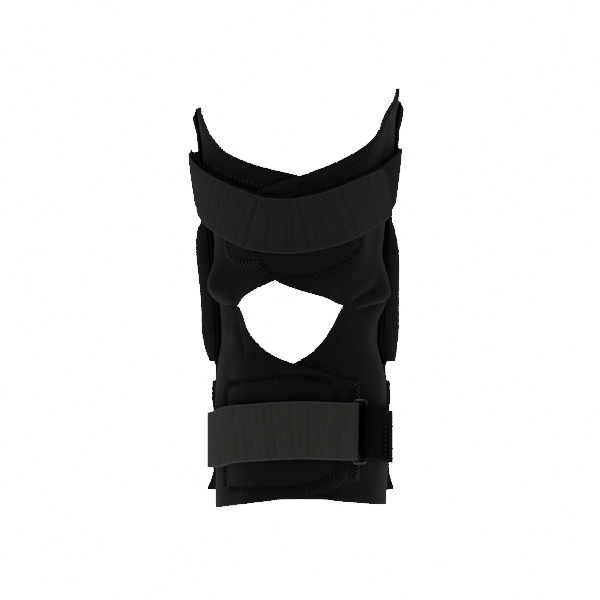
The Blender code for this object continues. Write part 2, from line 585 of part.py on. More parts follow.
for name, line, start, at, end, under, outer, lift, fold, width, thick, counts in BANDS:
    band = weld(name, [folded(line, start, at, end, under, outer, lift, fold, width, counts)])
    thicken(band, thick, 0)
    paint(band, WEBBING_BLACK, 0, 0.8)
ring("thigh_ring", THIGH_LINE, THIGH_RING_TURN, THIGH_RING_LIFT, THIGH_STRAP_WIDTH)
ring("calf_ring", CALF_LINE, CALF_RING_TURN, CALF_RING_LIFT, CALF_STRAP_WIDTH)
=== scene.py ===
"""Black hinged knee brace, worn shape, seen from the side where its tongues cross."""
import bpy
import bmesh
import numpy as np
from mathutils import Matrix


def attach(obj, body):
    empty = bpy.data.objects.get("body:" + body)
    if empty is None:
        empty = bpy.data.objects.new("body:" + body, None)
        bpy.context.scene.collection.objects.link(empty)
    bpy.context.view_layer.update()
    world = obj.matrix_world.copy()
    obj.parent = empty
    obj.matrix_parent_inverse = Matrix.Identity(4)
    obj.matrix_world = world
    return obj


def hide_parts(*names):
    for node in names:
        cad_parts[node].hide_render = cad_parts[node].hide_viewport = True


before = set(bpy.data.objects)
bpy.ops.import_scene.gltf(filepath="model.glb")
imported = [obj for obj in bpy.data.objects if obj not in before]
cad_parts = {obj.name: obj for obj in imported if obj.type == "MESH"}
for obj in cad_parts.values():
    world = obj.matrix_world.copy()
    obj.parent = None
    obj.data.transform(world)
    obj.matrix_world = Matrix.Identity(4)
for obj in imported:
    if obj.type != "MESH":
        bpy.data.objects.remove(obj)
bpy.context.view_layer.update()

# Studio: the brace hangs free in a white room over a pale glowing floor. Two tall soft
# boxes stand to its left and right, with weak ones above and behind. The camera is level
# with the knee window, two metres away, and frames 0.48 m at the brace's axis.
EYE = (0.0016, -2.0, 0.0184)
LENS_MM, SENSOR_MM = 150, 36
WARM_WHITE = (1, 0.985, 0.93)
SEEN_WHITE, ROOM_LIGHT, FLOOR_GLOW = 40.0, 0.07, 0.34
FLOOR_HALF, FLOOR_LEVEL = 3, -0.9
camera = bpy.data.objects.new("camera", bpy.data.cameras.new("camera"))
camera.data.lens = LENS_MM
camera.data.sensor_width = SENSOR_MM
camera.location = EYE
camera.rotation_euler = (np.pi / 2, 0, 0)
bpy.context.scene.collection.objects.link(camera)
bpy.context.scene.camera = camera

for name, place, size, power in (("left box", (-1.9, -1.05, 0.6), (0.9, 1.6), 6.2),
                                 ("right box", (1.9, -0.95, 0.5), (0.9, 1.6), 5.8),
                                 ("top box", (0, -0.5, 1.8), (1.4, 1.2), 0.6),
                                 ("back box", (0, 1.6, 0.9), (1.6, 1.2), 2.0)):
    lamp = bpy.data.lights.new(name, "AREA")
    lamp.shape, lamp.size, lamp.size_y, lamp.energy = "RECTANGLE", *size, power
    lamp.color = WARM_WHITE
    box = bpy.data.objects.new(name, lamp)
    box.location = place
    aim = np.array(place) / np.linalg.norm(place)
    box.rotation_euler = (np.arccos(aim[2]), 0, np.arctan2(aim[1], aim[0]) + np.pi / 2)
    bpy.context.scene.collection.objects.link(box)

world = bpy.data.worlds.new("white room")
bpy.context.scene.world = world
world.use_nodes = True
room = world.node_tree
seen, lit = room.nodes["Background"], room.nodes.new("ShaderNodeBackground")
seen.inputs["Color"].default_value = (1, 1, 1, 1)
seen.inputs["Strength"].default_value = SEEN_WHITE
lit.inputs["Color"].default_value = (*WARM_WHITE, 1)
lit.inputs["Strength"].default_value = ROOM_LIGHT
ray, pick = room.nodes.new("ShaderNodeLightPath"), room.nodes.new("ShaderNodeMixShader")
room.links.new(ray.outputs["Is Camera Ray"], pick.inputs[0])
room.links.new(lit.outputs[0], pick.inputs[1])
room.links.new(seen.outputs[0], pick.inputs[2])
room.links.new(pick.outputs[0], room.nodes["World Output"].inputs["Surface"])

floor_mesh = bpy.data.meshes.new("floor")
floor_mesh.from_pydata([(x * FLOOR_HALF, y * FLOOR_HALF, FLOOR_LEVEL)
                        for x, y in ((-1, -1), (1, -1), (1, 1), (-1, 1))], [], [(0, 1, 2, 3)])
floor = bpy.data.objects.new("floor", floor_mesh)
bpy.context.scene.collection.objects.link(floor)
floor_paint = bpy.data.materials.new("white floor")
floor_paint.use_nodes = True
floor_shader = floor_paint.node_tree.nodes["Principled BSDF"]
floor_shader.inputs["Base Color"].default_value = (0.9, 0.9, 0.9, 1)
floor_shader.inputs["Roughness"].default_value = 0.9
floor_shader.inputs["Emission Color"].default_value = (1, 1, 1, 1)
floor_shader.inputs["Emission Strength"].default_value = FLOOR_GLOW
floor_mesh.materials.append(floor_paint)

# Neoprene wrap: one sheet of 3.5 mm foam with black jersey on both faces, cut with two
# tongues on each side of the knee window. Above the knee the right tongue crosses over
# the left one, below it the left crosses over the right. The cut edge shows the foam.

# Inner form that the sheet closes round: a wide cone above the knee, a narrow waist and a
# rounder lower part, each an ellipse in plan. Every soft piece is laid on it by its turn
# (0 far side, 90 right, -90 left, 180 camera side), its level and its lift off the form.
THIGH_RISE, CALF_DROP = 0.188, 0.147
HALF_WIDTHS = np.array([0.0750, 0.0650, 0.0585])
NEAR_DEPTHS = np.array([0.0800, 0.0610, 0.0560])
FAR_DEPTHS = np.array([0.0780, 0.0660, 0.0620])
SHIFTS = np.array([0.0, 0.0026, 0.0008])
# Rows: level as a share of the rise or drop, share of the thigh form, share of the calf form
LEVEL_SHARE, THIGH_PART, CALF_PART = np.array([
    (-1.20, 0.00, 1.00), (-0.50, 0.00, 1.00), (-0.34, 0.00, 0.95), (-0.22, 0.00, 0.50),
    (-0.10, 0.00, 0.05), (0.00, 0.03, 0.00), (0.16, 0.16, 0.00), (0.33, 0.30, 0.00),
    (0.40, 0.40, 0.00), (0.52, 0.60, 0.00), (0.75, 0.90, 0.00), (1.00, 1.00, 0.00),
    (1.20, 1.04, 0.00)]).T
LEVELS = np.where(LEVEL_SHARE > 0, LEVEL_SHARE * THIGH_RISE, LEVEL_SHARE * CALF_DROP)


def glide(x, xs, ys):
    """Cubic through a table's rows whose slope at a row is the harmonic mean of the
    slopes on either side, and nought where they differ in sign."""
    xs, ys = np.asarray(xs, float), np.asarray(ys, float)
    step = np.diff(xs)
    rise = np.diff(ys) / step
    same = rise[1:] * rise[:-1] > 0
    inner = np.where(same, 2 * rise[1:] * rise[:-1] / np.where(same, rise[1:] + rise[:-1], 1), 0)
    slope = np.concatenate([rise[:1], inner, rise[-1:]])
    i = np.clip(np.searchsorted(xs, x) - 1, 0, len(xs) - 2)
    t = np.clip((x - xs[i]) / step[i], 0, 1)
    ends = (1 + 2 * t) * (1 - t) ** 2 * ys[i] + t * t * (3 - 2 * t) * ys[i + 1]
    return ends + step[i] * (t * (1 - t) ** 2 * slope[i] - t * t * (1 - t) * slope[i + 1])


def ease(x, start, end):
    """Nought before start, one after end, 3t squared less 2t cubed between."""
    t = np.clip((x - start) / (end - start), 0, 1)
    return t * t * (3 - 2 * t)


def girth(level):
    """Half width, near depth, far depth and sideways shift of the inner form: thigh, calf
    and knee values mixed by the table's shares at that level."""
    thigh, calf = glide(level, LEVELS, THIGH_PART), glide(level, LEVELS, CALF_PART)
    return [thigh * t + calf * c + (1 - thigh - calf) * k
            for t, c, k in (HALF_WIDTHS, NEAR_DEPTHS, FAR_DEPTHS, SHIFTS)]


def laid(turn, level, lift):
    """Point on the form's ellipse at a turn, moved out along the ellipse's normal by lift."""
    half, near, far, shift = girth(level)
    t = np.radians(turn)
    depth = np.where(np.cos(t) > 0, far, near)
    nx, ny = np.sin(t) / half, np.cos(t) / depth
    n = np.hypot(nx, ny)
    x = shift + half * np.sin(t) + lift * nx / n
    return np.stack([x, depth * np.cos(t) + lift * ny / n, level + 0 * x], -1)


def pace(turn, level):
    """Degrees of turn for each metre walked round the form: one over the ellipse's arc rate."""
    half, near, far, _ = girth(level)
    t = np.radians(turn)
    depth = np.where(np.cos(t) > 0, far, near)
    return np.degrees(1 / np.hypot(half * np.cos(t), depth * np.sin(t)))


NEOPRENE, LOOP_CLOTH, PATCH_GAP = 0.0035, 0.0008, 0.0005
FLAP_LIFT = NEOPRENE + LOOP_CLOTH + 2 * PATCH_GAP
FLAP_TOP = FLAP_LIFT + NEOPRENE
NOTCH_RISE = 0.014
LEFT_NOTCH, RIGHT_NOTCH = -127.0, 145.0
LEFT_END, THIGH_END, CALF_END = -211.0, 222.0, 205.0
FAR_TURN, FAR_ABOVE, FAR_BELOW = 56.0, 0.025, 0.050
# Metres of cloth for a degree of turn and for a metre of level, worked with and on the map
METRE = np.array([0.00115, 1])
MAP_METRE = 0.00125
# Edges of the sheet as rows of turn and level, the level a share of the rise or drop
NECK = np.array([
    (-214, 0.53), (-180, 0.61), (-156, 0.65), (-128, 0.72), (-112, 0.79), (-104, 0.86),
    (-97, 0.90), (-91, 0.92), (-80, 0.86), (-68, 0.80), (-55, 0.75), (-37, 0.70), (0, 0.635),
    (37, 0.72), (55, 0.79), (75, 0.90), (85, 0.97), (92, 1.0), (99, 0.97), (107, 0.92),
    (116, 0.868), (125, 0.803), (135, 0.752), (147, 0.704), (162, 0.654), (180, 0.606),
    (203, 0.56), (226, 0.55)])
WINDOW_TOP = np.array([
    (-214, 0.34), (-196, 0.27), (-163, 0.178), (-145, 0.135), (-134, 0.105),
    (LEFT_NOTCH, 0.0745), (RIGHT_NOTCH, 0.0745), (165, 0.11), (180, 0.138), (196, 0.176),
    (212, 0.27), (226, 0.40)])
WINDOW_FOOT = np.array([
    (-216, -0.29), (-196, -0.26), (-176, -0.21), (-161, -0.16), (-148, -0.088), (-139, -0.014),
    (-134, 0.045), (LEFT_NOTCH, 0.0952), (RIGHT_NOTCH, 0.0952), (149, 0.055), (154, -0.01),
    (162, -0.088), (173, -0.16), (185, -0.21), (208, -0.30)])
HEM = np.array([
    (-216, -0.86), (-196, -0.885), (-180, -0.91), (-153, -0.945), (-136, -0.965), (-92, -1.0),
    (0, -1.0), (104, -0.98), (146, -0.95), (180, -0.91), (208, -0.86)])
# Rounded ends of the right and left tongue: turn they start at, reach, share and power
THIGH_TIPS = ((190, 32, 0.975, 2.3), (188, 23, 0.93, 3))
CALF_TIPS = ((186, 19, 0.93, 3), (188, 23, 0.93, 3.2))
# Turns over which a top tongue rises onto the one below, and where it comes free
RIGHT_RISE, LEFT_RISE, FREE_SHARE, NOTCH_REACH = (116, 145), (118, 148), 0.21, 18
# Grid of the sheet: columns of each stretch, rows of each half, how they crowd to the ends
END_STEPS, LEFT_STEPS, FAR_STEPS, RIGHT_STEPS = 65, 54, 60, 67
THIGH_ROWS, CALF_ROWS, COLUMN_CROWD, ROW_CROWD = 58, 52, 1.15, 1.2
# Bulges beside the knee: place, reach round and up the form, height, and what the right
# one differs by
PUFF_LEVEL, PUFF_TURN = 0.029, 106.0
PUFF_FRONT, PUFF_BACK, PUFF_ABOVE, PUFF_BELOW = 19.0, 9.5, 0.017, 0.011
LEFT_PUFF, RIGHT_PUFF, RIGHT_DROP, RIGHT_SPREAD = 0.0108, 0.0104, 0.005, 0.007
# Soft folds: from turn and level, to turn and level, width and height of the ridge
FOLDS = (
    (-128, 0.0125, -94, 0.0175, 0.0030, -0.0042), (-127, 0.021, -104, 0.031, 0.0048, 0.0014),
    (143, 0.0095, 98, 0.0210, 0.0028, -0.0042), (136, 0.0137, 98, 0.0264, 0.0036, 0.0022),
    (139, 0.0187, 114, 0.0330, 0.0045, -0.0018), (143, 0.0225, 117, 0.0390, 0.0050, 0.0012),
    (-138, -0.010, -102, -0.004, 0.0060, 0.0012), (150, -0.004, 112, -0.012, 0.0065, 0.0012),
    (-120, 0.070, -90, 0.052, 0.0080, 0.0010), (122, 0.078, 96, 0.060, 0.0080, 0.0010))
FOLD_STARTS, FOLD_ENDS = (-0.12, 0.12), (0.55, 1.1)
RIPPLE = 0.00022
# Top corners that turn out: turn, reach in degrees, height, level it starts at and is full at
CORNERS = ((95, 22, 0.0032, 0.160, 0.188), (-88, 26, 0.0030, 0.142, 0.174))


def puff(turn, level):
    """Product of two bell curves, wider to the front and above than behind and below. The
    right one sits 5 mm lower and reaches 7 mm further up and down."""
    front = np.where(np.abs(turn) > PUFF_TURN, PUFF_FRONT, PUFF_BACK)
    off = level - PUFF_LEVEL + np.where(turn > 0, RIGHT_DROP, 0)
    reach = np.where(off > 0, PUFF_ABOVE, PUFF_BELOW) + np.where(turn > 0, RIGHT_SPREAD, 0)
    height = np.where(turn > 0, RIGHT_PUFF, LEFT_PUFF)
    return height * np.exp(-((np.abs(turn) - PUFF_TURN) / front) ** 2 - (off / reach) ** 2)


def folds(turn, level):
    """Sum of ridges: each a bell curve of the distance to its line, fading to its ends."""
    total = 0 * turn
    for turn_a, level_a, turn_b, level_b, width, height in FOLDS:
        way = METRE * (turn_b - turn_a, level_b - level_a)
        reach = np.hypot(*way)
        x, z = (turn - turn_a) * METRE[0], level - level_a
        t = (x * way[0] + z * way[1]) / reach ** 2
        off = (x * way[1] - z * way[0]) / reach
        fade = ease(t, *FOLD_STARTS) * (1 - ease(t, *FOLD_ENDS))
        total = total + height * fade * np.exp(-(off / width) ** 2)
    return total


def ripple(turn, level):
    """Low uneven swell of the worn cloth: four sine waves of unrelated lengths."""
    t = np.radians(turn)
    return RIPPLE * (np.sin(5 * t + 61 * level) + np.sin(9 * t - 47 * level + 1.3)
                     + np.sin(13 * t + 113 * level + 0.4) + np.sin(3 * t - 171 * level + 2.1))


def far_opening(turn):
    """Share of the opening behind the knee left at a turn: a superellipse's height."""
    return (1 - np.clip(np.abs(turn) / FAR_TURN, 0, 1) ** 2.4) ** (1 / 1.5)


def rounded(way, start, reach, share, power):
    """Share of a tongue's height left near its end: a superellipse from its start on."""
    return (1 - (share * np.clip((way - start) / reach, 0, 1)) ** power) ** (1 / power)


def upper_edges(turn):
    """Window edge and neck edge of the thigh half, and the share of its height left where
    its two ends are rounded off."""
    whole = (turn > LEFT_NOTCH - 0.01) & (turn < RIGHT_NOTCH + 0.01)
    window = glide(turn, *WINDOW_TOP.T) * THIGH_RISE
    low = np.where(whole, NOTCH_RISE + FAR_ABOVE * far_opening(turn), window)
    high = glide(turn, *NECK.T) * THIGH_RISE
    right, left = (rounded(way, *tip) for way, tip in zip((turn, -turn), THIGH_TIPS))
    return low, high, np.where(turn > 0, right, left)


def lower_edges(turn):
    """Hem and window edge of the calf half, and the share of its height left where its two
    ends are rounded off."""
    whole = (turn > LEFT_NOTCH - 0.01) & (turn < RIGHT_NOTCH + 0.01)
    window = glide(turn, *WINDOW_FOOT.T) * CALF_DROP
    high = np.where(whole, NOTCH_RISE - FAR_BELOW * far_opening(turn), window)
    low = glide(turn, *HEM.T) * CALF_DROP
    right, left = (rounded(way, *tip) for way, tip in zip((turn, -turn), CALF_TIPS))
    return low, high, np.where(turn > 0, right, left)


def upper_lift(turn, level):
    """Lift that the overlap gives the thigh half: the right tongue rises by an ease curve
    over the left one, except close to the window's notch."""
    low, high, _ = upper_edges(turn)
    share = (level - low) / (high - low)
    free = np.maximum(ease(share, 0, FREE_SHARE), ease(turn, RIGHT_NOTCH, RIGHT_NOTCH + NOTCH_REACH))
    return FLAP_LIFT * ease(turn, *RIGHT_RISE) * free


def lower_lift(turn, level):
    """Lift that the overlap gives the calf half: the left tongue rises by an ease curve
    over the right one, except close to the window's notch."""
    low, high, _ = lower_edges(turn)
    share = (high - level) / (high - low)
    free = np.maximum(ease(share, 0, FREE_SHARE), ease(-turn, -LEFT_NOTCH, NOTCH_REACH - LEFT_NOTCH))
    return FLAP_LIFT * ease(-turn, *LEFT_RISE) * free


# Seam lines sewn through the top tongues in wide zigzag, as turn and level round each D,
# and the groove that the thread pulls into the foam
THIGH_SEAM = np.array([
    (136, 0.136), (150, 0.120), (163, 0.112), (180, 0.105), (196, 0.099), (207, 0.092),
    (213, 0.078), (214, 0.066), (209, 0.054), (203, 0.044), (195, 0.037), (180, 0.035),
    (166, 0.038), (154, 0.044), (142, 0.054), (137, 0.060), (137, 0.074)])
CALF_SEAM = np.array([
    (-121, -0.049), (-138, -0.046), (-160, -0.043), (-180, -0.042), (-193, -0.044),
    (-201, -0.051), (-204, -0.062), (-204, -0.108), (-200, -0.117), (-192, -0.123),
    (-178, -0.127), (-152, -0.129), (-124, -0.131)])
FURROW_WIDE, FURROW_DEEP = 0.0034, 0.0007


def along(route, step):
    """Evenly spaced points on the smooth curve through a route's own points."""
    mark = np.concatenate([[0], np.cumsum(np.linalg.norm(np.diff(route * METRE, axis=0), axis=1))])
    at = np.linspace(0, mark[-1], int(mark[-1] / step) + 1)
    return np.stack([glide(at, mark, route[:, 0]), glide(at, mark, route[:, 1])], -1)


def furrow(turn, level, route):
    """Groove that a seam pulls in: a bell curve of the distance to the nearest seam point."""
    line = along(route, 0.002)
    away = ((turn[:, None] - line[:, 0]) * METRE[0]) ** 2 + (level[:, None] - line[:, 1]) ** 2
    return -FURROW_DEEP * np.exp(-away.min(1) / FURROW_WIDE ** 2)


def corner_flare(turn, level):
    """Outward turn of both top corners: a bell curve of the turn each, growing upwards."""
    return sum(height * ease(level, start, full) * np.exp(-((turn - at) / reach) ** 2)
               for at, reach, height, start, full in CORNERS)


def thigh_inner(turn, level):
    """Lift of the thigh half's inner face: the sum of overlap, bulges, folds, ripple, turned
    out corners and the seam's furrow, never below the form."""
    lift = upper_lift(turn, level) + puff(turn, level) + folds(turn, level) + ripple(turn, level)
    lift = lift + corner_flare(turn, level)
    return np.maximum(lift + furrow(turn, level, THIGH_SEAM) * (turn > 0), 0)


def calf_inner(turn, level):
    """Lift of the calf half's inner face: the sum of overlap, bulges, folds, ripple and the
    seam's furrow, never below the form."""
    lift = lower_lift(turn, level) + puff(turn, level) + folds(turn, level) + ripple(turn, level)
    return np.maximum(lift + furrow(turn, level, CALF_SEAM) * (turn < 0), 0)


def columns(left_end, right_end):
    """Turns of the sheet's columns: evenly spaced on the sides, closing up by a power of the
    step towards the tongues' ends and by a sine towards the far opening's ends."""
    t = np.linspace(1, 0, END_STEPS + 1)[:-1]
    left = LEFT_NOTCH + (left_end - LEFT_NOTCH) * (1 - (1 - t) ** COLUMN_CROWD)
    right = RIGHT_NOTCH + (right_end - RIGHT_NOTCH) * (1 - (1 - t[::-1]) ** COLUMN_CROWD)
    far = FAR_TURN * np.sin(np.linspace(-np.pi / 2, np.pi / 2, FAR_STEPS + 1))
    return np.concatenate([left, np.linspace(LEFT_NOTCH, -FAR_TURN, LEFT_STEPS + 1)[:-1], far,
                           np.linspace(FAR_TURN, RIGHT_NOTCH, RIGHT_STEPS + 1)[1:], right])


def woven(name, across, up, place):
    """Mesh of across by up faces: place gives each grid corner's point and its map in metres."""
    u, v = np.meshgrid(np.linspace(0, 1, across + 1), np.linspace(0, 1, up + 1), indexing="ij")
    points, flat = place(u.ravel(), v.ravel())
    i, j = np.meshgrid(np.arange(across), np.arange(up), indexing="ij")
    corner = (i * (up + 1) + j).ravel()
    faces = np.stack([corner, corner + up + 1, corner + up + 2, corner + 1], 1)
    mesh = bpy.data.meshes.new(name)
    mesh.from_pydata(points.tolist(), [], faces.tolist())
    chart = mesh.uv_layers.new(name="cloth")
    chart.data.foreach_set("uv", flat[faces.ravel()].astype(np.float32).ravel())
    return mesh


def made(name, *meshes, outward=True):
    """One smooth object of the meshes, with their shared corners welded."""
    bm = bmesh.new()
    for mesh in meshes:
        bm.from_mesh(mesh)
        bpy.data.meshes.remove(mesh)
    bmesh.ops.remove_doubles(bm, verts=bm.verts, dist=1e-6)
    if not outward:
        bmesh.ops.reverse_faces(bm, faces=bm.faces)
    mesh = bpy.data.meshes.new(name)
    bm.to_mesh(mesh)
    bm.free()
    mesh.polygons.foreach_set("use_smooth", [True] * len(mesh.polygons))
    obj = bpy.data.objects.new(name, mesh)
    bpy.context.scene.collection.objects.link(obj)
    return obj


def thigh_half(u, v):
    """Column's turn, and a level spread by a power of v about the middle of window and neck."""
    turns = columns(LEFT_END, THIGH_END)
    turn = np.interp(u, np.linspace(0, 1, len(turns)), turns)
    low, high, left = upper_edges(turn)
    level = (low + high) / 2 + (v ** ROW_CROWD - 0.5) * (high - low) * left
    return laid(turn, level, thigh_inner(turn, level)), np.stack([turn * MAP_METRE, level], -1)


def calf_half(u, v):
    """Column's turn, and a level spread by a power of v about the middle of hem and window."""
    turns = columns(LEFT_END, CALF_END)
    turn = np.interp(u, np.linspace(0, 1, len(turns)), turns)
    low, high, left = lower_edges(turn)
    level = (low + high) / 2 + (0.5 - (1 - v) ** ROW_CROWD) * (high - low) * left
    return laid(turn, level, calf_inner(turn, level)), np.stack([turn * MAP_METRE, level], -1)


def jersey(name, colour, grain, sheen, tone=0.25):
    """Knitted or brushed cloth: fine loops as bump, a broad mottle in colour and roughness."""
    paint = bpy.data.materials.new(name)
    paint.use_nodes = True
    tree = paint.node_tree
    shader = tree.nodes["Principled BSDF"]
    where = tree.nodes.new("ShaderNodeTexCoord")
    loops, mottle, mix = (tree.nodes.new("ShaderNode" + kind)
                          for kind in ("TexVoronoi", "TexNoise", "Mix"))
    for texture, scale in ((loops, grain), (mottle, 38.0)):
        tree.links.new(where.outputs["Object"], texture.inputs["Vector"])
        texture.inputs["Scale"].default_value = scale
    mottle.inputs["Detail"].default_value = 6
    mix.data_type = "RGBA"
    mix.inputs["A"].default_value = (*(c * (1 - tone) for c in colour), 1)
    mix.inputs["B"].default_value = (*(c * (1 + tone) for c in colour), 1)
    tree.links.new(mottle.outputs["Fac"], mix.inputs["Factor"])
    tree.links.new(mix.outputs["Result"], shader.inputs["Base Color"])
    rough = tree.nodes.new("ShaderNodeMapRange")
    rough.inputs["To Min"].default_value, rough.inputs["To Max"].default_value = 0.72, 0.92
    tree.links.new(mottle.outputs["Fac"], rough.inputs["Value"])
    tree.links.new(rough.outputs["Result"], shader.inputs["Roughness"])
    bump = tree.nodes.new("ShaderNodeBump")
    bump.inputs["Strength"].default_value = 0.35
    bump.inputs["Distance"].default_value = 0.0003
    tree.links.new(loops.outputs["Distance"], bump.inputs["Height"])
    tree.links.new(bump.outputs["Normal"], shader.inputs["Normal"])
    shader.inputs["Sheen Weight"].default_value = sheen
    shader.inputs["Sheen Roughness"].default_value = 0.5
    shader.inputs["Specular IOR Level"].default_value = 0.2
    return paint


steps = len(columns(LEFT_END, THIGH_END)) - 1
wrap = made("neoprene_sheet", woven("thigh half", steps, THIGH_ROWS, thigh_half),
            woven("calf half", steps, CALF_ROWS, calf_half), outward=False)
wall = wrap.modifiers.new("foam", "SOLIDIFY")
wall.thickness, wall.offset, wall.use_even_offset = NEOPRENE, 1, True
wall.material_offset, wall.material_offset_rim = 1, 2
for paint in (jersey("plush lining", (0.014, 0.014, 0.014), 700, 0.25),
              jersey("outer jersey", (0.0085, 0.0080, 0.0074), 1300, 0.085),
              jersey("cut foam", (0.085, 0.082, 0.076), 1500, 0.1)):
    wrap.data.materials.append(paint)
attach(wrap, "root")
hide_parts("neoprene_wrap")

# Seams: heavy bonded thread sewn in wide zigzag round the two top tongues. It lies on the
# jersey and dives in where it turns. Its colour is painted darker than the jersey, as the shade
# in the stitch holes. It is shown as one thread for each seam.
THREAD = 0.00052
ZIGZAG_WIDE, ZIGZAG_PITCH, CALF_BACK = 0.0054, 0.0035, -119
# How high a thread's points lie through one pitch of each stitch, as shares of its radius
ZIGZAG_LIE = np.array([1.1, 0.1, 1.1, 0.1])
LOCK_LIE = np.array([0.1, 0.9, 0.9, 0.1, -0.9])


def strung(name, lines, radius, closed=False):
    """Round wire or thread: a circle of that radius carried along each of the lines."""
    curve = bpy.data.curves.new(name, "CURVE")
    curve.dimensions, curve.bevel_depth, curve.bevel_resolution = "3D", radius, 1 + 3 * closed
    for points in lines:
        spline = curve.splines.new("POLY")
        spline.points.add(len(points) - 1)
        spline.points.foreach_set("co", np.c_[points, np.ones(len(points))].astype(np.float32).ravel())
        spline.use_cyclic_u, spline.use_smooth = closed, True
    obj = bpy.data.objects.new(name, curve)
    bpy.context.scene.collection.objects.link(obj)
    return obj


def stitches(route, face, width, pitch):
    """Points of a zigzag: in each pitch it swings half the width to one side of the route
    and then to the other, and it lies high on the route and low at its turns."""
    line = along(np.asarray(route, float), pitch / 4)
    way = np.gradient(line * METRE, axis=0)
    way /= np.linalg.norm(way, axis=1)[:, None]
    phase = np.arange(len(line)) % 4
    swing = width / 2 * np.array([0, 1, 0, -1])[phase]
    turn, level = (line + swing[:, None] * np.stack([-way[:, 1], way[:, 0]], 1) / METRE).T
    return laid(turn, level, face(turn, level) + THREAD * ZIGZAG_LIE[phase])


def locked(count):
    """Lift of a lockstitch's points: the thread's radius times a cycle of five shares, two
    of them high and one deep."""
    return THREAD * LOCK_LIE[np.arange(count) % len(LOCK_LIE)]


def top_thigh(turn, level):
    """Lift of the thigh half's outer face: its inner face's and the foam."""
    return thigh_inner(turn, level) + NEOPRENE


def top_calf(turn, level):
    """Lift of the calf half's outer face: its inner face's and the foam."""
    return calf_inner(turn, level) + NEOPRENE


def yarn(name, colour, rough):
    """Smooth filament thread, its twist as fine diagonal bands of bump."""
    paint = bpy.data.materials.new(name)
    paint.use_nodes = True
    tree = paint.node_tree
    shader = tree.nodes["Principled BSDF"]
    where, twist = tree.nodes.new("ShaderNodeTexCoord"), tree.nodes.new("ShaderNodeTexWave")
    twist.bands_direction = "DIAGONAL"
    twist.inputs["Scale"].default_value = 500
    bump = tree.nodes.new("ShaderNodeBump")
    bump.inputs["Strength"].default_value, bump.inputs["Distance"].default_value = 0.3, 0.0001
    tree.links.new(where.outputs["Object"], twist.inputs["Vector"])
    tree.links.new(twist.outputs["Fac"], bump.inputs["Height"])
    tree.links.new(bump.outputs["Normal"], shader.inputs["Normal"])
    shader.inputs["Base Color"].default_value = (*colour, 1)
    shader.inputs["Roughness"].default_value = rough
    return paint


# The bonded thread's near-black colour is painted shade: it stands in for the dark holes and slits along
# every dark seam.
thread = yarn("bonded thread", (0.0035, 0.0035, 0.0033), 0.3)
pale_thread = yarn("loop patch thread", (0.045, 0.045, 0.042), 0.40)
calf_back = [(CALF_BACK, -0.129), (CALF_BACK, -0.090), (CALF_BACK, -0.051)]
seams = strung("tongue_seams", [
    stitches(route, face, ZIGZAG_WIDE, ZIGZAG_PITCH)
    for route, face in ((THIGH_SEAM, top_thigh), (CALF_SEAM, top_calf), (calf_back, top_calf))], THREAD)
seams.data.materials.append(thread)
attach(seams, "root")

# Loop patches: thin brushed fabric that the hooks of the top tongues grip, sewn flat on
# the two under tongues with a zigzag along every edge.
PATCH_LIFT, PATCH_MARGIN, PATCH_MAP_METRE = 0.0002, 0.003, 0.0012
PATCH_ZIGZAG_WIDE, PATCH_ZIGZAG_PITCH = 0.0048, 0.0036
# Rows: turn, lower and upper edge as shares of the rise or drop
THIGH_PATCH = np.array([
    (-188, 0.29, 0.53), (-158, 0.23, 0.575), (-139, 0.235, 0.61), (-121, 0.28, 0.67)])
CALF_PATCH = np.array([(139, -0.84, -0.30), (150, -0.84, -0.295), (188, -0.835, -0.34)])
for name, node, rows, reach, under, flat in (
        ("thigh_patch", "thigh_loop_patch", THIGH_PATCH, THIGH_RISE, top_thigh, (0.088, 0.080)),
        ("calf_patch", "calf_loop_patch", CALF_PATCH, CALF_DROP, top_calf, (0.058, 0.081))):
    def edges(turn):
        """Lower and upper edge of the patch at a turn, read off its rows."""
        return [glide(turn, rows[:, 0], rows[:, k]) * reach for k in (1, 2)]

    def spread(u, v):
        """Turn by u and level by v straight across the outline, laid just over the tongue."""
        turn = rows[0, 0] + u * (rows[-1, 0] - rows[0, 0])
        low, high = edges(turn)
        level = low + v * (high - low)
        lift = under(turn, level) + PATCH_LIFT
        return laid(turn, level, lift), np.stack([turn * PATCH_MAP_METRE, level], -1)

    def on_patch(turn, level):
        """Lift of the patch's outer face: the tongue's and the patch's own cloth."""
        return under(turn, level) + LOOP_CLOTH + PATCH_LIFT

    patch = made(name, woven(name, 90, 90, spread), outward=False)
    wall = patch.modifiers.new("loops", "SOLIDIFY")
    wall.thickness, wall.offset = LOOP_CLOTH, 1
    patch.data.materials.append(jersey(name + " loops", (0.0105, 0.0105, 0.010), 1700, 0.3, tone=0.4))
    turns = rows[0, 0] + np.linspace(0.04, 0.96, 12) * (rows[-1, 0] - rows[0, 0])
    low, high = edges(turns)
    top_run = np.stack([turns, high - PATCH_MARGIN], 1)
    foot_run = np.stack([turns, low + PATCH_MARGIN], 1)[::-1]
    border = np.concatenate([top_run, foot_run, top_run[:1]])
    edge = strung(name + "_seam", [stitches(border, on_patch, PATCH_ZIGZAG_WIDE, PATCH_ZIGZAG_PITCH)],
                  THREAD)
    edge.data.materials.append(pale_thread)
    for piece in (patch, edge):
        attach(piece, "root")
    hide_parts(node)

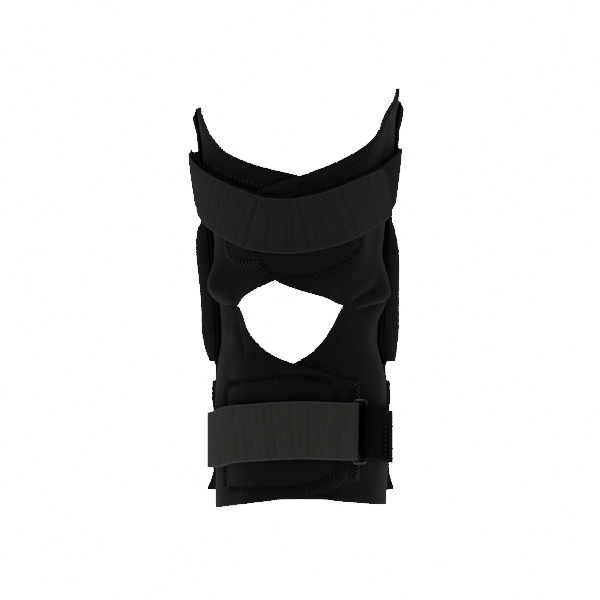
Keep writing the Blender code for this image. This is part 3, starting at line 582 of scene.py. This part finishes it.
# Hinge sleeves: each a flat tube of doubled jersey sewn down the wrap's side, bulged out
# by the hinge and sewn shut at the top. A lockstitch runs down both long edges.
STAY_TURN, SLEEVE_FOOT, SLEEVE_WIDE, SLEEVE_CLOTH = 76.0, -0.031, 0.050, 0.0012
LEFT_SLEEVE_TOP, LEFT_SLEEVE_REACH = 0.172, 0.0196
RIGHT_SLEEVE_TOP, RIGHT_SLEEVE_REACH = 0.178, 0.0222
TOP_SEAM, SLEEVE_SEAT, EDGE_SHARE, FLAT_SHARE = 0.007, NEOPRENE + 0.0007, 0.16, 0.85
CROWN_SPREAD, NECK_GAP, TOP_SINK = 0.39, 0.001, 0.75
OVAL_ACROSS, OVAL_OUT, MAP_ROUND = 0.8, 0.65, 0.01
CREASE, BULGE_EDGE, BULGE_ROOM, STITCH_AROUND = 0.00035, 0.0002, 0.003, (0.012, 0.488)
# Rows: level as a share of the thigh's rise, inner and outer lift as shares of the sleeve's
# reach, width as a share of the sleeve's width
LEFT_SLEEVE = np.array([
    (-0.165, 0.26, 0.63, 0.78), (-0.096, 0.28, 0.94, 0.92), (-0.032, 0.35, 1.06, 1.0),
    (0.138, 0.35, 1.02, 1.0), (0.287, 0.31, 1.07, 0.95), (0.346, 0.27, 1.04, 0.92),
    (0.404, 0.24, 0.88, 0.88), (0.436, 0.22, 0.70, 0.86), (0.500, 0.20, 0.45, 0.84),
    (0.80, 0.20, 0.44, 0.80), (0.84, 0.20, 0.46, 0.78), (0.88, 0.20, 0.53, 0.78),
    (1.0, 0.20, 0.54, 0.78)])
RIGHT_SLEEVE = np.array([
    (-0.165, 0.23, 0.74, 0.78), (-0.096, 0.36, 0.95, 0.92), (-0.032, 0.40, 1.03, 1.0),
    (0.138, 0.34, 0.95, 1.0), (0.287, 0.27, 0.87, 0.95), (0.346, 0.24, 0.77, 0.92),
    (0.404, 0.21, 0.60, 0.88), (0.436, 0.19, 0.47, 0.86), (0.500, 0.175, 0.39, 0.84),
    (0.80, 0.175, 0.39, 0.80), (0.88, 0.175, 0.50, 0.78), (1.0, 0.175, 0.50, 0.78)])
# Sleeve jersey colour is set well above the wrap's as painted light, brightening the sleeve fronts that
# lie in the wrap's shade.
sleeve_cloth_painted_light = jersey("sleeve jersey", (0.0300, 0.0275, 0.0250), 1100, 0.06)
for side, at, top, reach, table in (
        ("left", -STAY_TURN, LEFT_SLEEVE_TOP, LEFT_SLEEVE_REACH, LEFT_SLEEVE),
        ("right", STAY_TURN, RIGHT_SLEEVE_TOP, RIGHT_SLEEVE_REACH, RIGHT_SLEEVE)):
    def tube(u, v):
        """Point round a flattened oval at each level: across it goes the cosine of u, out
        from the seat on the wrap to the table's outer lift goes a power of its sine. The
        outer half sinks at the top seam and keeps clear of the wrap's bulge."""
        edge = at + CROWN_SPREAD * SLEEVE_WIDE * np.cos(2 * np.pi * u) * pace(at, top)
        crown = np.minimum(top, glide(edge, *NECK.T) * THIGH_RISE - NECK_GAP)
        level = SLEEVE_FOOT + v * (crown - SLEEVE_FOOT)
        shares = [glide(level / THIGH_RISE, table[:, 0], table[:, k]) for k in (1, 2, 3)]
        inner, outer = np.minimum(shares[0] * reach, SLEEVE_SEAT), shares[1] * reach
        c, s = np.cos(2 * np.pi * u), np.sin(2 * np.pi * u)
        across = shares[2] * SLEEVE_WIDE / 2 * np.sign(c) * np.abs(c) ** OVAL_ACROSS
        sewn = ease(level, crown - TOP_SEAM, crown)
        full = np.abs(s) ** OVAL_OUT
        bowed = EDGE_SHARE + (1 - EDGE_SHARE) * full * (1 - TOP_SINK * sewn)
        share = np.where(s > 0, bowed, EDGE_SHARE * (1 - full))
        crease = CREASE * np.sin(310 * level + 90 * across) * np.sin(47 * level + 1) * np.abs(s)
        lift = inner + (outer - inner) * share - np.abs(crease) * (s > 0)
        lift = lift - sewn * (at < 0) * (lift - inner) * FLAT_SHARE
        turn = at + across * pace(at, level)
        bulge = puff(turn, level)
        over = SLEEVE_SEAT + bulge + BULGE_ROOM * full * (s > 0)
        lift = np.where(bulge > BULGE_EDGE, np.maximum(lift, over), lift) + corner_flare(turn, level)
        return laid(turn, level, lift), np.stack([across + s * MAP_ROUND, level], -1)

    sleeve = made(side + "_sleeve", woven(side, 96, 130, tube))
    wall = sleeve.modifiers.new("cloth", "SOLIDIFY")
    wall.thickness, wall.offset = SLEEVE_CLOTH, -1
    sleeve.data.materials.append(sleeve_cloth_painted_light)
    lines = []
    for u in STITCH_AROUND:
        v = np.linspace(0.01, 0.985, 360)
        points = tube(np.full(len(v), u), v)[0]
        out = points * [1, 1, 0]
        out /= np.linalg.norm(out, axis=1)[:, None]
        lines.append(points + out * locked(len(v))[:, None])
    hem = strung(side + "_sleeve_stitch", lines, THREAD)
    hem.data.materials.append(thread)
    for piece in (sleeve, hem):
        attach(piece, "root")
    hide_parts(side + "_hinge_cover")

# Lower pockets: narrow strips of the same cloth sewn down along both edges, below the
# sleeves. The lower arm runs down inside each one to just above the hem.
POCKET_TOP, POCKET_FOOT, POCKET_CLOTH = -0.046, -0.134, 0.0010
ARM_HALF, ARM_BULK, SEWN_MARGIN = 0.0086, 0.0018, 0.005
POCKET_LIFT, MOUTH_LIFT, POCKET_SEAM = NEOPRENE + 0.0003, 0.0012, 0.0116
LEFT_FLARE, RIGHT_FLARE, SEAM_END = 0.0036, 0.0022, 0.002
FLARE_STRETCH, FOOT_STRETCH, MOUTH_STRETCH = (0.1235, 0.133), (0.119, 0.124), (-0.070, -0.060)
for side, at, flare in (("left", -STAY_TURN, LEFT_FLARE), ("right", STAY_TURN, RIGHT_FLARE)):
    def strip(u, v):
        """Flat strip with a raised middle: it rises over the arm, falls by an ease curve at
        the arm's edges and stands further off at its mouth and its foot."""
        level = POCKET_FOOT + v * (POCKET_TOP - POCKET_FOOT)
        across = (2 * u - 1) * (ARM_HALF + SEWN_MARGIN)
        loose = flare * ease(-level, *FLARE_STRETCH)
        loose = loose + MOUTH_LIFT * (ease(level, *MOUTH_STRETCH) + ease(-level, *FOOT_STRETCH))
        beyond = ease(np.abs(across), ARM_HALF - 0.0002, ARM_HALF + 0.0014)
        lift = POCKET_LIFT + (ARM_BULK + loose) * (1 - beyond)
        return laid(at + across * pace(at, level), level, lift), np.stack([across, level], -1)

    pocket = made(side + "_pocket", woven(side, 48, 60, strip), outward=False)
    wall = pocket.modifiers.new("cloth", "SOLIDIFY")
    wall.thickness, wall.offset = POCKET_CLOTH, 1
    pocket.data.materials.append(sleeve_cloth_painted_light)
    lines = []
    for across in (-POCKET_SEAM, POCKET_SEAM):
        level = np.linspace(POCKET_FOOT + SEAM_END, POCKET_TOP - SEAM_END, 140)
        lift = POCKET_LIFT + POCKET_CLOTH + locked(len(level))
        lines.append(laid(at + across * pace(at, level), level, lift))
    hem = strung(side + "_pocket_stitch", lines, THREAD)
    hem.data.materials.append(thread)
    for piece in (pocket, hem):
        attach(piece, "root")
    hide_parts(side + "_lower_pocket")

# Straps: woven nylon hook-and-loop webbing. Each is sewn to the wrap, runs round the
# front to its ring, folds over the near bar and sticks down on itself.
STRAP, WEBBING, RING_WIRE, RING_BARS = 0.0015, 0.0012, 0.0024, 0.0095
THIGH_WIDE, CALF_WIDE, TAB_SHARE = 0.042, 0.0445, 0.93
THIGH_TAB_WIDE, CALF_TAB_WIDE = THIGH_WIDE * TAB_SHARE, CALF_WIDE * TAB_SHARE
THIGH_RING_TURN, CALF_RING_TURN, THIGH_RING_LIFT, CALF_RING_LIFT = 271.8, 143.8, 0.0124, 0.0125
THIGH_SLIP, TIP_LENGTH, TIP_NARROWS, SELVAGE = 0.0016, 0.010, 0.35, 0.0011
# Centre lines as rows of turn and level
THIGH_LINE = np.array([
    (20, 0.1135), (50, 0.1175), (70, 0.1205), (90, 0.119), (105, 0.113), (120, 0.1035), (139, 0.093),
    (151, 0.086), (164, 0.080), (186, 0.075), (202, 0.0768), (217, 0.083), (232, 0.0915),
    (257, 0.1065), (268, 0.1135), (285, 0.119), (300, 0.1175), (318, 0.1140), (340, 0.113)])
CALF_LINE = np.array([
    (20, -0.093), (90, -0.0915), (112, -0.089), (128, -0.0855), (138, -0.0838), (150, -0.0835),
    (180, -0.082), (211, -0.0845), (229, -0.087), (241, -0.0905), (257, -0.0925), (290, -0.095),
    (345, -0.096)])
ON_WRAP = NEOPRENE + 0.0005 + STRAP / 2
FOLD, TAB_FOLD = RING_WIRE / 2 + 0.0005 + STRAP / 2, RING_WIRE / 2 + 0.0005 + WEBBING / 2
FRONT, DOUBLE = FLAP_TOP + 0.0010 + STRAP / 2, STRAP + 0.0003
OVER_COVER, OVER_POCKET = 0.0097, 0.0080
# Rows: turn and lift of the band's middle, on the way out to the ring and on the way back
THIGH_UNDER = np.array([
    (20, ON_WRAP), (45, ON_WRAP), (56, OVER_COVER), (116, OVER_COVER), (138, FRONT), (245, FRONT),
    (268, THIGH_RING_LIFT - FOLD)])
THIGH_OUTER = np.array([
    (110, FRONT + DOUBLE), (220, FRONT + DOUBLE), (234, 0.0136), (247, 0.0140), (260, 0.0140),
    (268, THIGH_RING_LIFT + FOLD)])
THIGH_TAB_UNDER = np.array([(276, THIGH_RING_LIFT - TAB_FOLD), (290, 0.0102)])
THIGH_TAB_OUTER = np.array([
    (276, THIGH_RING_LIFT + TAB_FOLD), (284, 0.0135), (292, 0.0119), (298, 0.0102),
    (303, 0.0095), (315, ON_WRAP), (332, ON_WRAP)])
CALF_UNDER = np.array([
    (147, CALF_RING_LIFT - FOLD), (155, FRONT), (212, FRONT), (228, 0.0094), (245, 0.0084),
    (262, OVER_POCKET), (304, OVER_POCKET), (320, ON_WRAP), (342, ON_WRAP)])
CALF_OUTER = np.array([
    (147, CALF_RING_LIFT + FOLD), (156, 0.0130), (166, FRONT + DOUBLE), (212, FRONT + DOUBLE),
    (230, 0.0114), (247, 0.0105), (262, OVER_POCKET + DOUBLE), (304, OVER_POCKET + DOUBLE),
    (314, 0.0094)])
CALF_TAB_UNDER = np.array([(124, 0.0086), (138, CALF_RING_LIFT - TAB_FOLD)])
CALF_TAB_OUTER = np.array([
    (28, ON_WRAP), (38, ON_WRAP), (52, OVER_POCKET), (98, OVER_POCKET), (112, 0.0094),
    (124, 0.0115), (132, 0.0132), (138, CALF_RING_LIFT + TAB_FOLD)])


def tilt(line, turn):
    """Level, pace and slope of a strap's centre line: the slope is the arctangent of its
    rise over the arc of two degrees."""
    level = glide(turn, *line.T)
    rate = pace(turn, level)
    return level, rate, np.arctan((glide(turn + 1, *line.T) - glide(turn - 1, *line.T)) / 2 * rate)


def beside(line, turn, ahead, across, lift):
    """Point that far ahead along a strap's centre line and across it: both turned by the
    line's slope into a turn and a level, and laid on the form."""
    level, rate, slope = tilt(line, turn)
    walk = ahead * np.cos(slope) - across * np.sin(slope)
    return laid(turn + walk * rate, level + ahead * np.sin(slope) + across * np.cos(slope), lift)


# A wave texture of scale one has bands 0.314 m apart
WAVE_METRE, PICK = 0.314, 0.0008


def webbing(name, colour, half, rib, turnover, pile, sheen, wear):
    """Woven band: ribs across it, a finer weave along it and lighter selvages at both edges.
    The ribs also darken its colour in their grooves, as painted shade. Up to the fold its
    face is loop pile, its colour times the share given. Wear streaks the band along its ribs."""
    paint = bpy.data.materials.new(name)
    paint.use_nodes = True
    tree = paint.node_tree
    shader = tree.nodes["Principled BSDF"]
    chart, split = tree.nodes.new("ShaderNodeUVMap"), tree.nodes.new("ShaderNodeSeparateXYZ")
    chart.uv_map = "cloth"
    tree.links.new(chart.outputs["UV"], split.inputs["Vector"])
    ribs, picks, fuzz = (tree.nodes.new("ShaderNodeTex" + kind) for kind in ("Wave", "Wave", "Noise"))
    ribs.bands_direction, picks.bands_direction = "X", "Y"
    for texture, scale in ((ribs, WAVE_METRE / rib), (picks, WAVE_METRE / PICK), (fuzz, 900)):
        texture.inputs["Scale"].default_value = scale
        tree.links.new(chart.outputs["UV"], texture.inputs["Vector"])
    weave, away, edge = (tree.nodes.new("ShaderNodeMath") for _ in range(3))
    weave.operation, away.operation = "MULTIPLY", "ABSOLUTE"
    tree.links.new(ribs.outputs["Fac"], weave.inputs[0])
    tree.links.new(picks.outputs["Fac"], weave.inputs[1])
    tree.links.new(split.outputs["Y"], away.inputs[0])
    edge.operation = "GREATER_THAN"
    edge.inputs[1].default_value = half - SELVAGE
    tree.links.new(away.outputs[0], edge.inputs[0])
    tone, rim = tree.nodes.new("ShaderNodeMix"), tree.nodes.new("ShaderNodeMix")
    tone.data_type = rim.data_type = "RGBA"
    tone.inputs["A"].default_value = (*(c * 0.55 for c in colour), 1)
    tone.inputs["B"].default_value = (*(c * 1.25 for c in colour), 1)
    rim.inputs["B"].default_value = (*(c * 1.8 for c in colour), 1)
    # Ribs darken the band's colour in their grooves as painted shade; the wear noise adds streaks along
    # the band.
    rib_shade_and_wear = tree.nodes.new("ShaderNodeMath")
    rib_shade_and_wear.operation = "MULTIPLY_ADD"
    rib_shade_and_wear.inputs[1].default_value = 0.35
    worn, stain = tree.nodes.new("ShaderNodeTexNoise"), tree.nodes.new("ShaderNodeMath")
    worn.noise_dimensions, stain.operation = "1D", "MULTIPLY_ADD"
    worn.inputs["Scale"].default_value, worn.inputs["Detail"].default_value = 210, 3
    stain.inputs[1].default_value = wear
    tree.links.new(split.outputs["X"], worn.inputs["W"])
    tree.links.new(worn.outputs["Fac"], stain.inputs[0])
    half_fuzz = tree.nodes.new("ShaderNodeMath")
    half_fuzz.operation = "MULTIPLY_ADD"
    half_fuzz.inputs[1].default_value, half_fuzz.inputs[2].default_value = 0.25, 0.45 - wear / 2
    tree.links.new(ribs.outputs["Fac"], rib_shade_and_wear.inputs[0])
    tree.links.new(fuzz.outputs["Fac"], half_fuzz.inputs[0])
    tree.links.new(half_fuzz.outputs[0], stain.inputs[2])
    tree.links.new(stain.outputs[0], rib_shade_and_wear.inputs[2])
    tree.links.new(rib_shade_and_wear.outputs[0], tone.inputs["Factor"])
    tree.links.new(tone.outputs["Result"], rim.inputs["A"])
    tree.links.new(edge.outputs[0], rim.inputs["Factor"])
    before, dark = tree.nodes.new("ShaderNodeMath"), tree.nodes.new("ShaderNodeMix")
    before.operation, dark.data_type = "LESS_THAN", "RGBA"
    before.inputs[1].default_value = turnover
    dark.inputs["B"].default_value = (*(c * pile for c in colour), 1)
    tree.links.new(split.outputs["X"], before.inputs[0])
    tree.links.new(before.outputs[0], dark.inputs["Factor"])
    tree.links.new(rim.outputs["Result"], dark.inputs["A"])
    tree.links.new(dark.outputs["Result"], shader.inputs["Base Color"])
    bump = tree.nodes.new("ShaderNodeBump")
    bump.inputs["Strength"].default_value, bump.inputs["Distance"].default_value = 0.8, 0.0005
    tree.links.new(weave.outputs[0], bump.inputs["Height"])
    tree.links.new(bump.outputs["Normal"], shader.inputs["Normal"])
    shader.inputs["Roughness"].default_value = 0.6
    shader.inputs["Specular IOR Level"].default_value = 0.15 + sheen
    shader.inputs["Sheen Weight"].default_value = sheen
    return paint


def folded(line, start, ring_turn, end, under, outer, lift, fold, width, slip):
    """Band out to a ring's near bar, half a circle round it, and back over itself to its
    tip, which narrows over its last centimetre. The outward run lies higher by slip."""
    way = 1 if ring_turn > start else -1
    _, rate, slope = tilt(line, ring_turn)
    bar = ring_turn - way * RING_BARS / 2 * np.cos(slope) * rate
    phi = np.linspace(0, np.pi, 17)[1:-1]
    out_p = np.linspace(start, bar, max(12, int(abs(bar - start) / 1.2)))
    back_p = np.linspace(bar, end, max(12, int(abs(bar - end) / 1.2)))
    turns = np.concatenate([out_p, np.full(15, ring_turn), back_p])
    ahead = np.concatenate([0 * out_p, way * (fold * np.sin(phi) - RING_BARS / 2), 0 * back_p])
    lifts = np.concatenate([glide(out_p, *under.T), lift - fold * np.cos(phi), glide(back_p, *outer.T)])
    centre = beside(line, turns, ahead, 0 * turns, lifts)
    walked = np.concatenate([[0], np.cumsum(np.linalg.norm(np.diff(centre, axis=0), axis=1))])

    def place(u, v):
        """Point of the run at u, and across it by v: the width less a cube at the tip."""
        at = np.linspace(0, 1, len(turns))
        p, a, h, far = (np.interp(u, at, values) for values in (turns, ahead, lifts, walked))
        tip = np.where(u > 0.5, 1 - np.clip((walked[-1] - far) / TIP_LENGTH, 0, 1), 0)
        middle = np.where(u < len(out_p) / len(turns), ease(p, 90, 150) - ease(p, 225, 255), 0)
        across = (v - 0.5) * width * (1 - TIP_NARROWS * tip ** 3) + slip * middle
        return beside(line, p, a, across, h), np.stack([far, (v - 0.5) * width], -1)

    return len(turns) - 1, place, walked[-1], walked[len(out_p)]


# Band colours: partly each webbing's own tone, partly painted light. The thigh band is painted darker, as
# shade on a band that faces down, and the calf band lighter, as light on one that faces up.
thigh_weave_shaded = dict(colour=(0.0370, 0.0368, 0.0350), rib=0.0028, pile=0.25, sheen=0.10, wear=1.6)
calf_weave_lit = dict(colour=(0.0820, 0.0813, 0.0775), rib=0.0016, pile=0.25, sheen=0.10, wear=0.8)
# Tab colour: partly the dark elastic's own, partly painted shade, as the tab is turned away from the
# light.
tab_weave_dark_and_shaded = dict(colour=(0.0030, 0.0030, 0.0028), rib=0.0024, pile=1.0, sheen=0.0, wear=0.8)
for name, node, line, ends, under, outer, lift, fold, width, thick, slip, weave in (
        ("thigh_band", "thigh_strap", THIGH_LINE, (42, THIGH_RING_TURN, 119), THIGH_UNDER, THIGH_OUTER,
         THIGH_RING_LIFT, FOLD, THIGH_WIDE, STRAP, THIGH_SLIP, thigh_weave_shaded),
        ("calf_band", "calf_strap", CALF_LINE, (338, CALF_RING_TURN, 312), CALF_UNDER, CALF_OUTER,
         CALF_RING_LIFT, FOLD, CALF_WIDE, STRAP, 0.0, calf_weave_lit),
        ("thigh_tab", "thigh_ring_tab", THIGH_LINE, (289, THIGH_RING_TURN, 318), THIGH_TAB_UNDER,
         THIGH_TAB_OUTER, THIGH_RING_LIFT, TAB_FOLD, THIGH_TAB_WIDE, WEBBING, 0.0, tab_weave_dark_and_shaded),
        ("calf_tab", "calf_ring_tab", CALF_LINE, (125, CALF_RING_TURN, 31), CALF_TAB_UNDER,
         CALF_TAB_OUTER, CALF_RING_LIFT, TAB_FOLD, CALF_TAB_WIDE, WEBBING, 0.0, tab_weave_dark_and_shaded)):
    count, place, length, turned = folded(line, *ends, under, outer, lift, fold, width, slip)
    strap = made(name, woven(name, count, 16, place))
    wall = strap.modifiers.new("webbing", "SOLIDIFY")
    wall.thickness, wall.offset = thick, 0
    bevel = strap.modifiers.new("soft edge", "BEVEL")
    bevel.width, bevel.segments, bevel.angle_limit = 0.0003, 2, 1.0
    strap.data.materials.append(webbing(name + " weave", half=width / 2, turnover=turned, **weave))
    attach(strap, "root")
    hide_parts(node)

# Strap seams: a zigzag column holds each ring tab folded round its ring, with a lockstitch
# beside it on the calf tab, and a sewn box fixes each strap's and tab's far end to the wrap.
BOX_INSET, BOX_WIDE, BOX_PITCH = 0.004, 0.0008, 0.0034
COLUMN_INSET, COLUMN_PITCH, COLUMN_ZIGZAG, COLUMN_LINE = 0.003, 0.0036, 0.0040, 0.0006


def on_band(lifts, thick):
    """Function for the lift of a band's outer face: its middle's and half its thickness."""
    return lambda turn, level: glide(turn, *lifts.T) + thick / 2


def boxed(line, start, end, lifts, width, thick):
    """Closed run of stitches: a rectangle between two turns, inset from the band's edges."""
    half = width / 2 - BOX_INSET
    turns = np.linspace(start, end, 8)
    level = glide(turns, *line.T)
    top_run, foot_run = np.stack([turns, level + half], 1), np.stack([turns, level - half], 1)[::-1]
    route = np.concatenate([top_run, foot_run, top_run[:1]])
    return stitches(route, on_band(lifts, thick), BOX_WIDE, BOX_PITCH)


def column(line, turn, lifts, width, thick, swing):
    """Stitches straight across a band at one turn, inset from its edges."""
    level = glide(turn, *line.T) + np.linspace(-1, 1, 6) * (width / 2 - COLUMN_INSET)
    route = np.stack([np.full(6, float(turn)), level], 1)
    return stitches(route, on_band(lifts, thick), swing, COLUMN_PITCH)


tacks = strung("strap_seams", [
    boxed(THIGH_LINE, 44, 53, THIGH_UNDER, THIGH_WIDE, STRAP),
    boxed(CALF_LINE, 326, 336, CALF_UNDER, CALF_WIDE, STRAP),
    boxed(THIGH_LINE, 304, 316, THIGH_TAB_OUTER, THIGH_TAB_WIDE, WEBBING),
    boxed(CALF_LINE, 33, 46, CALF_TAB_OUTER, CALF_TAB_WIDE, WEBBING),
    column(THIGH_LINE, 286, THIGH_TAB_OUTER, THIGH_TAB_WIDE, WEBBING, COLUMN_ZIGZAG),
    column(CALF_LINE, 121, CALF_TAB_OUTER, CALF_TAB_WIDE, WEBBING, COLUMN_ZIGZAG),
    column(CALF_LINE, 114, CALF_TAB_OUTER, CALF_TAB_WIDE, WEBBING, COLUMN_LINE)], THREAD)
tacks.data.materials.append(thread)
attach(tacks, "root")

# Rings and stays: bent wire loops and stamped steel arms, painted black. The arms and
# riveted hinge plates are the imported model's own, seen only below the sleeves.
RING_ROOM, RING_BEND = 0.0012, 0.0022


def enamel(name, rough):
    """Black paint on metal: its roughness runs over a noise from 0.7 to 1.4 times the value."""
    paint = bpy.data.materials.new(name)
    paint.use_nodes = True
    tree = paint.node_tree
    shader = tree.nodes["Principled BSDF"]
    where, wear = tree.nodes.new("ShaderNodeTexCoord"), tree.nodes.new("ShaderNodeTexNoise")
    wear.inputs["Scale"].default_value, wear.inputs["Detail"].default_value = 160, 6
    spread = tree.nodes.new("ShaderNodeMapRange")
    spread.inputs["To Min"].default_value, spread.inputs["To Max"].default_value = rough * 0.7, rough * 1.4
    tree.links.new(where.outputs["Object"], wear.inputs["Vector"])
    tree.links.new(wear.outputs["Fac"], spread.inputs["Value"])
    tree.links.new(spread.outputs["Result"], shader.inputs["Roughness"])
    shader.inputs["Base Color"].default_value = (0.012, 0.012, 0.012, 1)
    shader.inputs["Coat Weight"].default_value = 0.6
    shader.inputs["Coat Roughness"].default_value = rough / 2
    return paint


gloss = enamel("gloss enamel", 0.2)
for name, line, turn, lift, inside in (
        ("thigh", THIGH_LINE, THIGH_RING_TURN, THIGH_RING_LIFT, THIGH_WIDE),
        ("calf", CALF_LINE, CALF_RING_TURN, CALF_RING_LIFT, CALF_WIDE)):
    long, wide = inside / 2 + RING_ROOM + RING_WIRE / 2, RING_BARS / 2
    corner = np.radians(np.linspace(0, 90, 9))
    arc_x = wide - RING_BEND + RING_BEND * np.cos(corner)
    arc_y = long - RING_BEND + RING_BEND * np.sin(corner)
    run = np.linspace(-1, 1, 9)[1:-1] * (long - RING_BEND)
    bar = np.full(len(run), wide)
    ahead = np.concatenate([bar, arc_x, -arc_x[::-1], -bar, -arc_x, arc_x[::-1]])
    across = np.concatenate([run, arc_y, arc_y[::-1], -run, -arc_y, -arc_y[::-1]])
    loop = beside(line, np.full(len(ahead), turn), ahead, across, np.full(len(ahead), lift))
    ring = strung(name + "_loop", [loop], RING_WIRE / 2, closed=True)
    ring.data.materials.append(gloss)
    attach(ring, "root")
    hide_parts(name + "_ring")

satin = enamel("satin enamel", 0.35)
for side in ("left", "right"):
    for part in ("upper_arm", "lower_arm", "hinge_plates"):
        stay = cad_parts[side + "_" + part]
        stay.data.materials.clear()
        stay.data.materials.append(satin)
